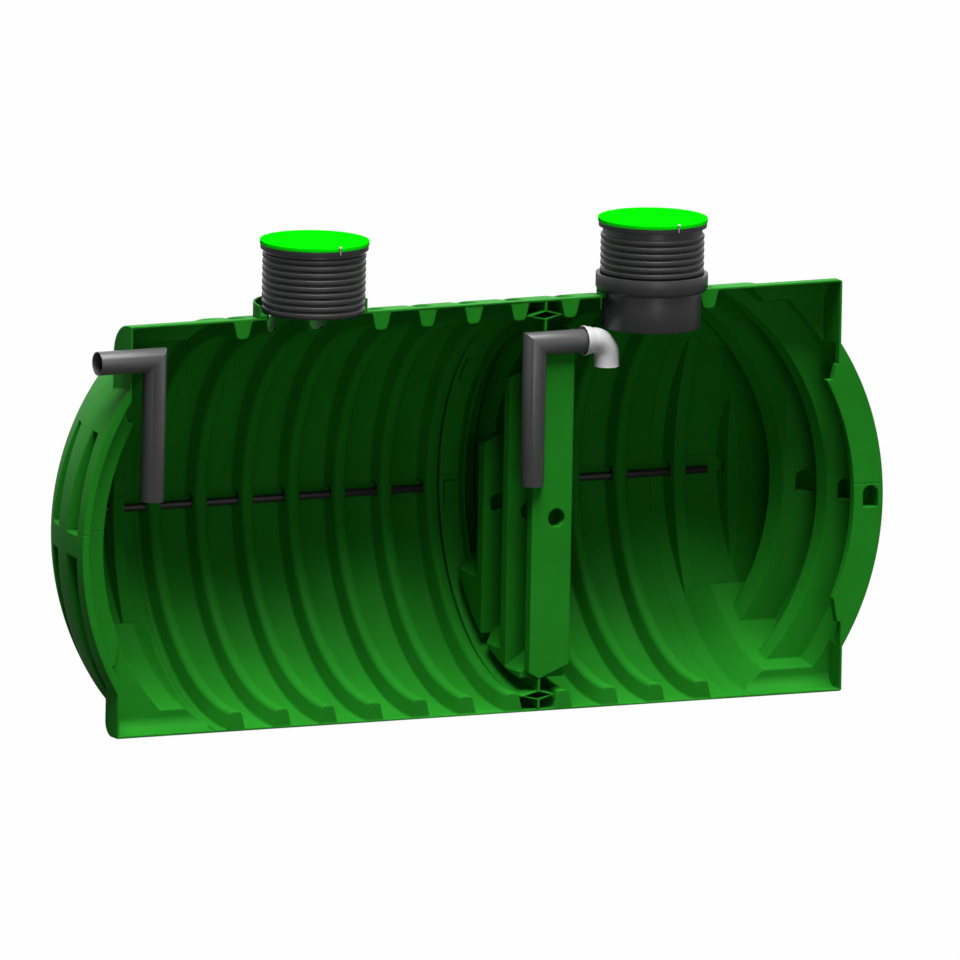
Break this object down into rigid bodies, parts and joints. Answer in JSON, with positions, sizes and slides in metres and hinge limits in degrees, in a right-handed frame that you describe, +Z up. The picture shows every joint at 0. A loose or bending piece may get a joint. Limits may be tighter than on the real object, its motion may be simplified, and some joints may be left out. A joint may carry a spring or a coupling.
{
  "type": "cutaway two-chamber septic tank",
  "caption": "Half cutaway of a ribbed horizontal septic tank with domed ends, a partition, two risers with lids, an inlet drop pipe and a crossover pipe with elbow.",
  "frame": {"origin": "middle of the flat keel strip under the tank, halfway between the two feet", "axes": "+X along the tank from the inlet end to the far end, +Y away from the cut face, +Z up"},
  "size_m": [4.057, 1.206, 2.25],
  "materials": {
    "tank_green": "moulded polyethylene, satin",
    "lid_green": "bright moulded plastic",
    "riser_grey": "extruded dark grey",
    "pipe_grey": "extruded drain pipe, smooth",
    "elbow_white": "injection moulded, smooth",
    "rod_dark": "extruded tube"
  },
  "bodies": {
    "root": {"crossover_elbow": "elbow_white", "crossover_pipe": "pipe_grey", "dip_pipe": "riser_grey", "inlet_pipe": "pipe_grey", "joint_ring_lower": "tank_green", "joint_ring_upper": "tank_green", "left_end_lower": "tank_green", "left_end_upper": "tank_green", "left_lid": "lid_green", "left_neck": "tank_green", "left_rim": "riser_grey", "left_riser": "riser_grey", "left_shell_crown": "tank_green", "left_shell_invert": "tank_green", "left_shell_lower": "tank_green", "left_shell_side": "tank_green", "left_shell_upper": "tank_green", "left_tie_rod": "rod_dark", "partition": "tank_green", "right_end_lower": "tank_green", "right_end_upper": "tank_green", "right_lid": "lid_green", "right_neck": "tank_green", "right_rim": "riser_grey", "right_riser": "riser_grey", "right_shell_crown": "tank_green", "right_shell_invert": "tank_green", "right_shell_lower": "tank_green", "right_shell_side": "tank_green", "right_shell_upper": "tank_green", "right_tie_rod": "rod_dark", "riser_socket": "riser_grey"}
  },
  "joints": []
}
